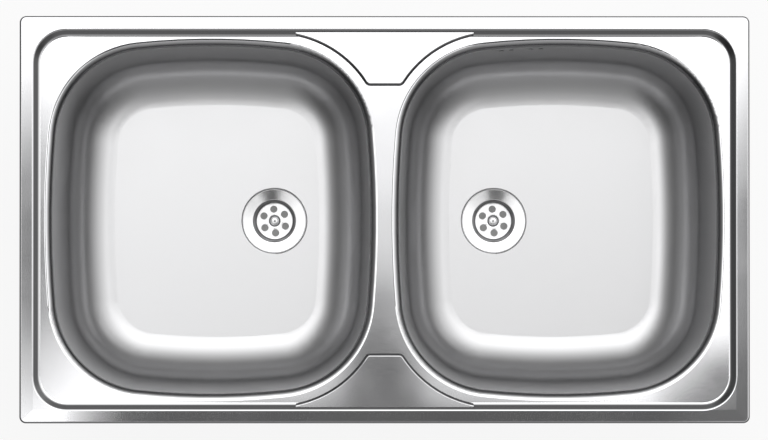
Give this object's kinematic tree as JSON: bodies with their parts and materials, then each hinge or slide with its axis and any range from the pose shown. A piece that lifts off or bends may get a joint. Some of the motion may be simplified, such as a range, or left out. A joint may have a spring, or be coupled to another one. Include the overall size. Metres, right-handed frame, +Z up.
{
  "type": "double bowl kitchen sink",
  "caption": "Inset stainless kitchen sink with two pressed bowls on one recessed deck, strainer wastes, overflow slots and swinging worktop clamps.",
  "frame": {"origin": "centre of the worktop cut-out, on the worktop's top face, where the rim seal's under face lies", "axes": "+X along the sink to its right, +Y to its back, +Z up out of the worktop"},
  "size_m": [0.78, 0.435, 0.223],
  "materials": {
    "stainless_sheet": "satin brushed stainless sheet, polished rim",
    "stainless_fitting": "polished stainless",
    "zinc_steel": "bright zinc plated",
    "seal_foam": "matt black foam rubber",
    "gasket_rubber": "matt black rubber",
    "waste_plastic": "white moulded polypropylene",
    "damping_pad": "matt dark grey"
  },
  "bodies": {
    "sink": {"deck": "stainless_sheet", "left_bowl": "stainless_sheet", "right_bowl": "stainless_sheet", "left_damping_pad": "damping_pad", "right_damping_pad": "damping_pad", "rim_seal": "seal_foam", "clamp_brackets": "zinc_steel", "overflow_gasket": "gasket_rubber", "overflow_head": "waste_plastic", "overflow_studs": "stainless_fitting", "overflow_nuts": "zinc_steel", "left_strainer": "stainless_fitting", "left_waste_screw": "stainless_fitting", "left_upper_gasket": "gasket_rubber", "left_lower_gasket": "gasket_rubber", "left_waste_body": "waste_plastic", "right_strainer": "stainless_fitting", "right_waste_screw": "stainless_fitting", "right_upper_gasket": "gasket_rubber", "right_lower_gasket": "gasket_rubber", "right_waste_body": "waste_plastic"},
    "screw_1": {"clamp_screw_1": "zinc_steel"},
    "arm_1": {"clamp_arm_1": "zinc_steel"},
    "screw_2": {"clamp_screw_2": "zinc_steel"},
    "arm_2": {"clamp_arm_2": "zinc_steel"},
    "screw_3": {"clamp_screw_3": "zinc_steel"},
    "arm_3": {"clamp_arm_3": "zinc_steel"},
    "screw_4": {"clamp_screw_4": "zinc_steel"},
    "arm_4": {"clamp_arm_4": "zinc_steel"},
    "screw_5": {"clamp_screw_5": "zinc_steel"},
    "arm_5": {"clamp_arm_5": "zinc_steel"},
    "screw_6": {"clamp_screw_6": "zinc_steel"},
    "arm_6": {"clamp_arm_6": "zinc_steel"},
    "screw_7": {"clamp_screw_7": "zinc_steel"},
    "arm_7": {"clamp_arm_7": "zinc_steel"},
    "screw_8": {"clamp_screw_8": "zinc_steel"},
    "arm_8": {"clamp_arm_8": "zinc_steel"},
    "screw_9": {"clamp_screw_9": "zinc_steel"},
    "arm_9": {"clamp_arm_9": "zinc_steel"},
    "screw_10": {"clamp_screw_10": "zinc_steel"},
    "arm_10": {"clamp_arm_10": "zinc_steel"}
  },
  "joints": [
    {"name": "screw_1_raise", "type": "slide", "parent": "sink", "child": "screw_1", "axis": [0, 0, 1], "range_m": [0, 0.014]},
    {"name": "arm_1_swing", "type": "hinge", "parent": "screw_1", "child": "arm_1", "pos_m": [-0.315, -0.1875, -0.043], "axis": [0, 0, 1], "range_deg": [0, 90]},
    {"name": "screw_2_raise", "type": "slide", "parent": "sink", "child": "screw_2", "axis": [0, 0, 1], "range_m": [0, 0.014]},
    {"name": "arm_2_swing", "type": "hinge", "parent": "screw_2", "child": "arm_2", "pos_m": [0, -0.1875, -0.043], "axis": [0, 0, -1], "range_deg": [0, 90]},
    {"name": "screw_3_raise", "type": "slide", "parent": "sink", "child": "screw_3", "axis": [0, 0, 1], "range_m": [0, 0.014]},
    {"name": "arm_3_swing", "type": "hinge", "parent": "screw_3", "child": "arm_3", "pos_m": [0.315, -0.1875, -0.043], "axis": [0, 0, -1], "range_deg": [0, 90]},
    {"name": "screw_4_raise", "type": "slide", "parent": "sink", "child": "screw_4", "axis": [0, 0, 1], "range_m": [0, 0.014]},
    {"name": "arm_4_swing", "type": "hinge", "parent": "screw_4", "child": "arm_4", "pos_m": [-0.315, 0.1875, -0.043], "axis": [0, 0, -1], "range_deg": [0, 90]},
    {"name": "screw_5_raise", "type": "slide", "parent": "sink", "child": "screw_5", "axis": [0, 0, 1], "range_m": [0, 0.014]},
    {"name": "arm_5_swing", "type": "hinge", "parent": "screw_5", "child": "arm_5", "pos_m": [0, 0.1875, -0.043], "axis": [0, 0, 1], "range_deg": [0, 90]},
    {"name": "screw_6_raise", "type": "slide", "parent": "sink", "child": "screw_6", "axis": [0, 0, 1], "range_m": [0, 0.014]},
    {"name": "arm_6_swing", "type": "hinge", "parent": "screw_6", "child": "arm_6", "pos_m": [0.315, 0.1875, -0.043], "axis": [0, 0, 1], "range_deg": [0, 90]},
    {"name": "screw_7_raise", "type": "slide", "parent": "sink", "child": "screw_7", "axis": [0, 0, 1], "range_m": [0, 0.014]},
    {"name": "arm_7_swing", "type": "hinge", "parent": "screw_7", "child": "arm_7", "pos_m": [-0.36, -0.135, -0.043], "axis": [0, 0, -1], "range_deg": [0, 90]},
    {"name": "screw_8_raise", "type": "slide", "parent": "sink", "child": "screw_8", "axis": [0, 0, 1], "range_m": [0, 0.014]},
    {"name": "arm_8_swing", "type": "hinge", "parent": "screw_8", "child": "arm_8", "pos_m": [-0.36, 0.135, -0.043], "axis": [0, 0, 1], "range_deg": [0, 90]},
    {"name": "screw_9_raise", "type": "slide", "parent": "sink", "child": "screw_9", "axis": [0, 0, 1], "range_m": [0, 0.014]},
    {"name": "arm_9_swing", "type": "hinge", "parent": "screw_9", "child": "arm_9", "pos_m": [0.36, -0.135, -0.043], "axis": [0, 0, 1], "range_deg": [0, 90]},
    {"name": "screw_10_raise", "type": "slide", "parent": "sink", "child": "screw_10", "axis": [0, 0, 1], "range_m": [0, 0.014]},
    {"name": "arm_10_swing", "type": "hinge", "parent": "screw_10", "child": "arm_10", "pos_m": [0.36, 0.135, -0.043], "axis": [0, 0, -1], "range_deg": [0, 90]}
  ]
}
